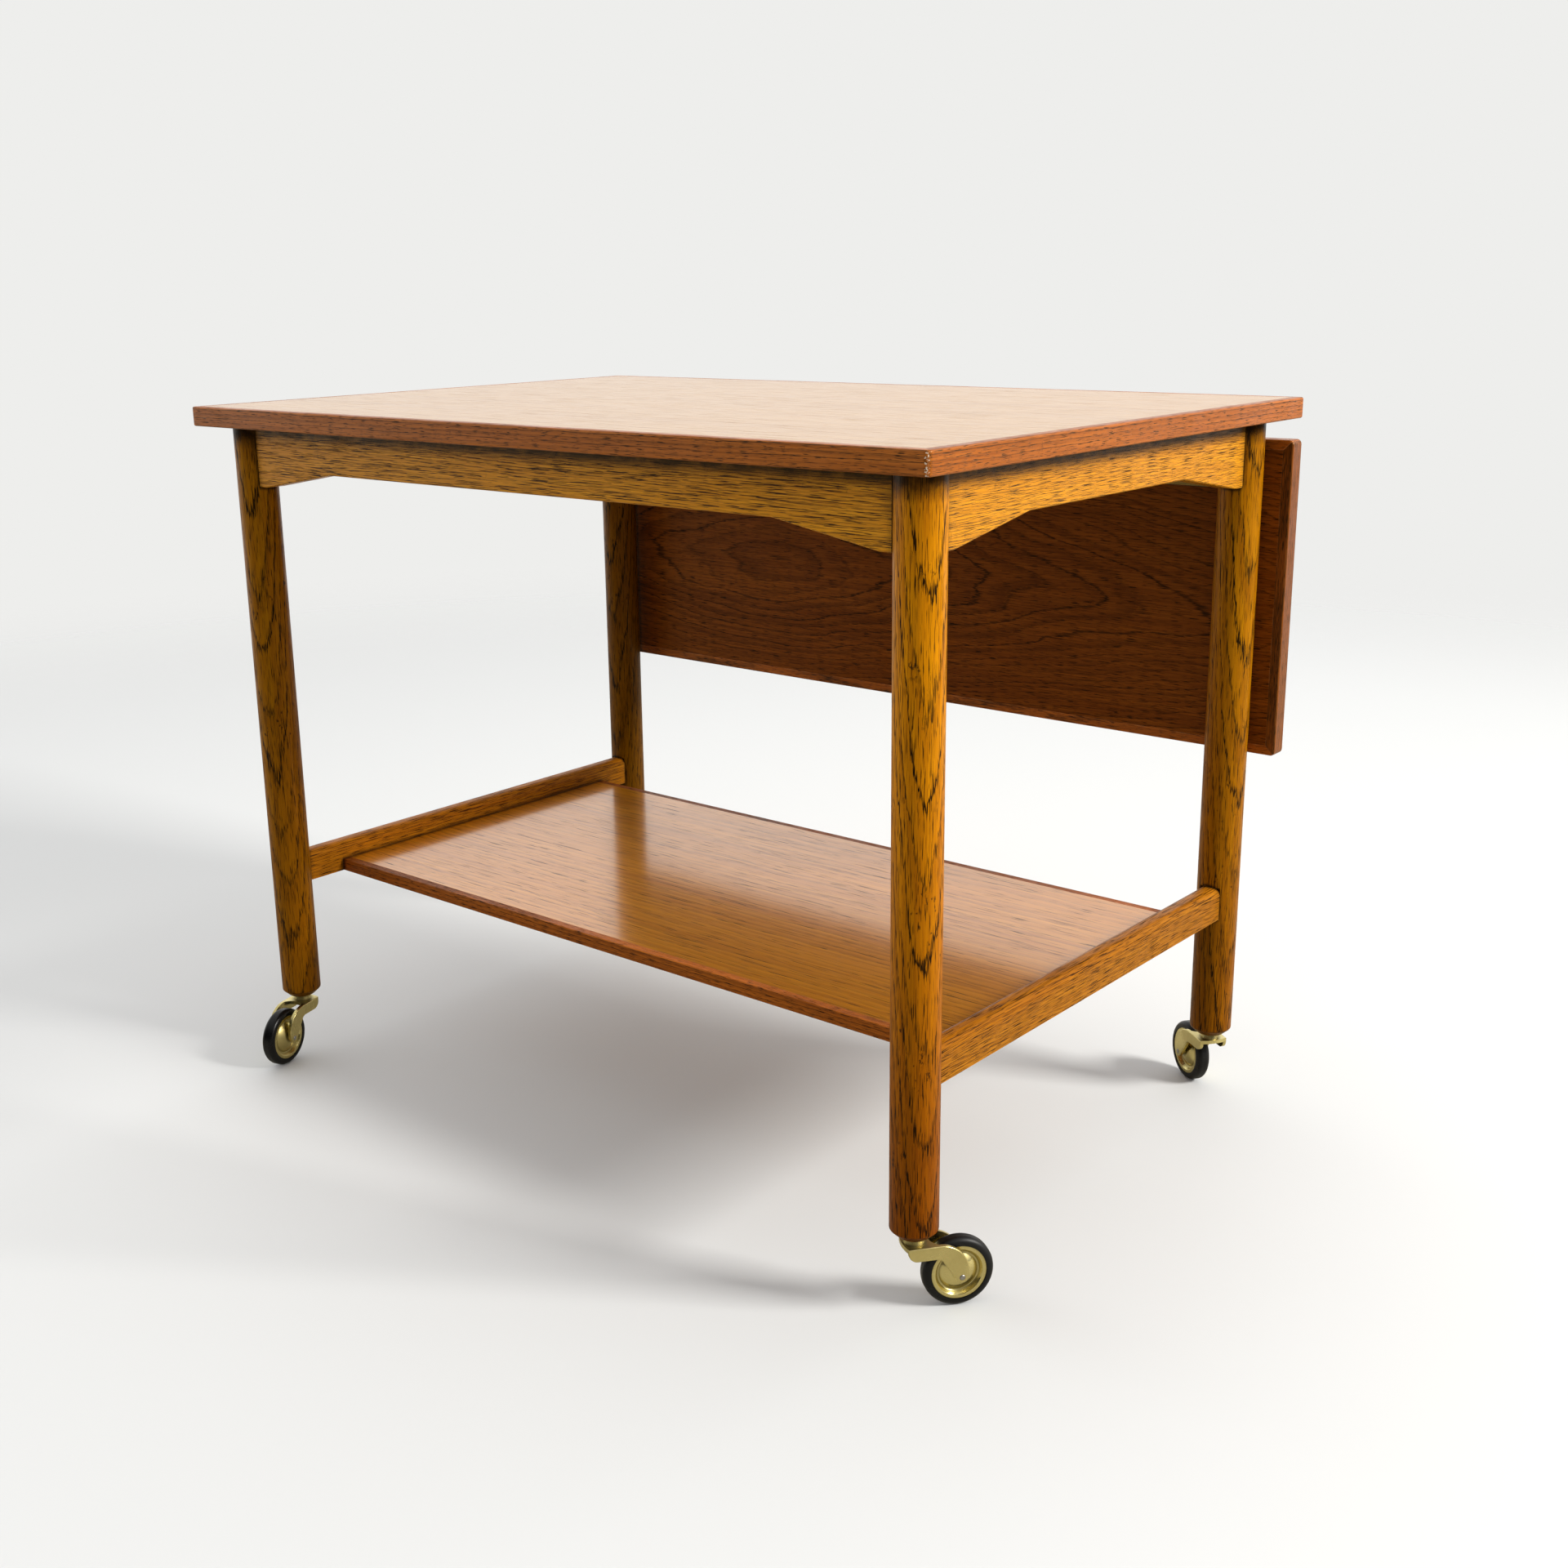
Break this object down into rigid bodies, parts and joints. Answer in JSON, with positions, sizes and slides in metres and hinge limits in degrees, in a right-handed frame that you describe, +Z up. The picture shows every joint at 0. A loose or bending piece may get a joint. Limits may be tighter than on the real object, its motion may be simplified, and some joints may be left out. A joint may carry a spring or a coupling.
{
  "type": "folding tea cart",
  "caption": "Low rectangular tea cart on swivel casters, with a lower shelf between end stretchers, round legs, arched aprons and a long drop leaf held up by pull-out supports",
  "frame": {"origin": "centre of the cart's outline, on the floor under the casters", "axes": "X along the long side, +X to the right seen from the front; -Y the plain front long side, +Y the long side with the drop leaf; Z up"},
  "size_m": [0.7591, 0.536, 0.586],
  "materials": {
    "teak": "satin lacquered teak, fine straight grain",
    "teak_lipping": "solid teak edge strip, satin lacquer, small pale chips at the corners",
    "oak": "amber-stained oak with dark open pores, satin lacquer",
    "beech": "plain dowel rod, bare",
    "brass": "pressed sheet with a dulled olive-gold plating",
    "hinge_brass": "satin sheet, lightly tarnished",
    "hinge_steel": "drawn wire",
    "steel": "bright zinc plate, dulled",
    "tyre": "smooth black rubber"
  },
  "bodies": {
    "cart": {"apron_dowels": "beech", "back_apron": "oak", "back_left_leg": "oak", "back_right_leg": "oak", "caster_sockets": "steel", "front_apron": "oak", "front_left_leg": "oak", "front_right_leg": "oak", "glue_blocks": "oak", "hinge_top_screws": "hinge_brass", "left_apron": "oak", "left_hinge_pin": "hinge_steel", "left_hinge_top_flap": "hinge_brass", "left_loper_guide": "oak", "left_stretcher": "oak", "right_apron": "oak", "right_hinge_pin": "hinge_steel", "right_hinge_top_flap": "hinge_brass", "right_loper_guide": "oak", "right_stretcher": "oak", "shelf_back_lipping": "teak_lipping", "shelf_dowels": "beech", "shelf_front_lipping": "teak_lipping", "shelf_panel": "teak", "stretcher_dowels": "beech", "top_back_lipping": "teak_lipping", "top_front_lipping": "teak_lipping", "top_left_lipping": "teak_lipping", "top_panel": "teak", "top_right_lipping": "teak_lipping", "top_screws": "steel"},
    "leaf": {"hinge_leaf_screws": "hinge_brass", "leaf_bottom_lipping": "teak_lipping", "leaf_left_lipping": "teak_lipping", "leaf_panel": "teak", "leaf_right_lipping": "teak_lipping", "leaf_top_lipping": "teak_lipping", "left_hinge_leaf_flap": "hinge_brass", "right_hinge_leaf_flap": "hinge_brass"},
    "left_loper_slide": {"left_loper": "oak", "left_loper_peg": "beech"},
    "right_loper_slide": {"right_loper": "oak", "right_loper_peg": "beech"},
    "front_right_fork": {"front_right_caster_fork": "brass", "front_right_caster_axle": "steel"},
    "front_right_wheel": {"front_right_caster_hub": "brass", "front_right_caster_tyre": "tyre"},
    "front_left_fork": {"front_left_caster_fork": "brass", "front_left_caster_axle": "steel"},
    "front_left_wheel": {"front_left_caster_hub": "brass", "front_left_caster_tyre": "tyre"},
    "back_right_fork": {"back_right_caster_fork": "brass", "back_right_caster_axle": "steel"},
    "back_right_wheel": {"back_right_caster_hub": "brass", "back_right_caster_tyre": "tyre"},
    "back_left_fork": {"back_left_caster_fork": "brass", "back_left_caster_axle": "steel"},
    "back_left_wheel": {"back_left_caster_hub": "brass", "back_left_caster_tyre": "tyre"}
  },
  "joints": [
    {"name": "leaf_fold", "type": "hinge", "parent": "cart", "child": "leaf", "pos_m": [0, 0.239, 0.57], "axis": [1, 0, 0], "range_deg": [0, 90]},
    {"name": "left_loper_pull", "type": "slide", "parent": "cart", "child": "left_loper_slide", "axis": [0, 1, 0], "range_m": [0, 0.2]},
    {"name": "right_loper_pull", "type": "slide", "parent": "cart", "child": "right_loper_slide", "axis": [0, 1, 0], "range_m": [0, 0.2]},
    {"name": "front_right_swivel", "type": "hinge", "parent": "cart", "child": "front_right_fork", "pos_m": [0.343, -0.217, 0.056], "axis": [0, 0, 1], "continuous": true},
    {"name": "front_right_roll", "type": "hinge", "parent": "front_right_fork", "child": "front_right_wheel", "pos_m": [0.36166, -0.19224, 0.0254], "axis": [-0.7986, 0.6018, 0], "continuous": true},
    {"name": "front_left_swivel", "type": "hinge", "parent": "cart", "child": "front_left_fork", "pos_m": [-0.343, -0.217, 0.056], "axis": [0, 0, 1], "continuous": true},
    {"name": "front_left_roll", "type": "hinge", "parent": "front_left_fork", "child": "front_left_wheel", "pos_m": [-0.33394, -0.24665, 0.0254], "axis": [0.9563, 0.2924, 0], "continuous": true},
    {"name": "back_right_swivel", "type": "hinge", "parent": "cart", "child": "back_right_fork", "pos_m": [0.343, 0.217, 0.056], "axis": [0, 0, 1], "continuous": true},
    {"name": "back_right_roll", "type": "hinge", "parent": "back_right_fork", "child": "back_right_wheel", "pos_m": [0.31761, 0.23478, 0.0254], "axis": [-0.5736, -0.8192, 0], "continuous": true},
    {"name": "back_left_swivel", "type": "hinge", "parent": "cart", "child": "back_left_fork", "pos_m": [-0.343, 0.217, 0.056], "axis": [0, 0, 1], "continuous": true},
    {"name": "back_left_roll", "type": "hinge", "parent": "back_left_fork", "child": "back_left_wheel", "pos_m": [-0.36122, 0.24208, 0.0254], "axis": [-0.809, -0.5878, 0], "continuous": true}
  ]
}
